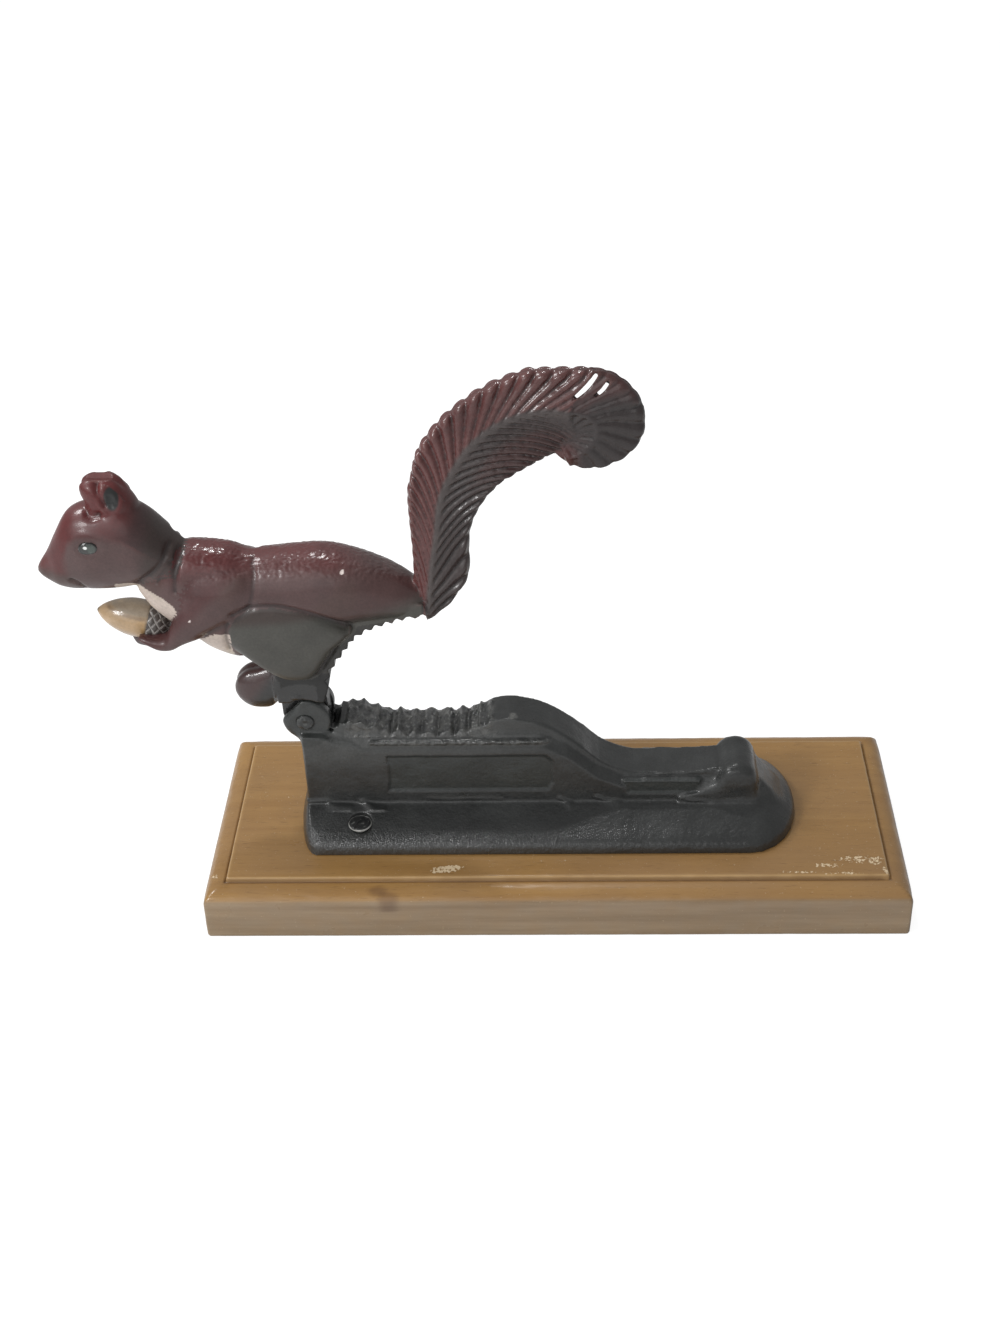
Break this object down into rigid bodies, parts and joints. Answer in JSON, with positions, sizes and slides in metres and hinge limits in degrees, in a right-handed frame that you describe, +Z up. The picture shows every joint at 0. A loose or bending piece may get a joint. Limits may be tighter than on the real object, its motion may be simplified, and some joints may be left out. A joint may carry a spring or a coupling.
{
  "type": "lever nutcracker press",
  "caption": "Cast squirrel nutcracker whose tail is the lever, hinged on a slotted cast base with toothed jaws, screwed to a moulded wooden board.",
  "frame": {"origin": "centre of the board's underside", "axes": "+X from the squirrel's head to its tail along the board, +Y away from the front, +Z up"},
  "size_m": [0.2886, 0.0888, 0.1943],
  "materials": {
    "board_wood": "satin varnish, worn at the corners",
    "black_enamel": "glossy black enamel over rough casting",
    "painted_squirrel": "glossy red-brown enamel with cream, tan and black areas",
    "pin_steel": "riveted ends, darkened",
    "screw_steel": "darkened, slotted flat head"
  },
  "bodies": {
    "base": {"wood_base": "board_wood", "base_casting": "black_enamel", "hinge_pin": "pin_steel", "screw_front": "screw_steel", "screw_rear": "screw_steel"},
    "lever": {"squirrel_lever": "painted_squirrel"}
  },
  "joints": [
    {"name": "lever_hinge", "type": "hinge", "parent": "base", "child": "lever", "pos_m": [-0.0848, 0, 0.065], "axis": [0, 1, 0], "range_deg": [0, 39.5]}
  ]
}
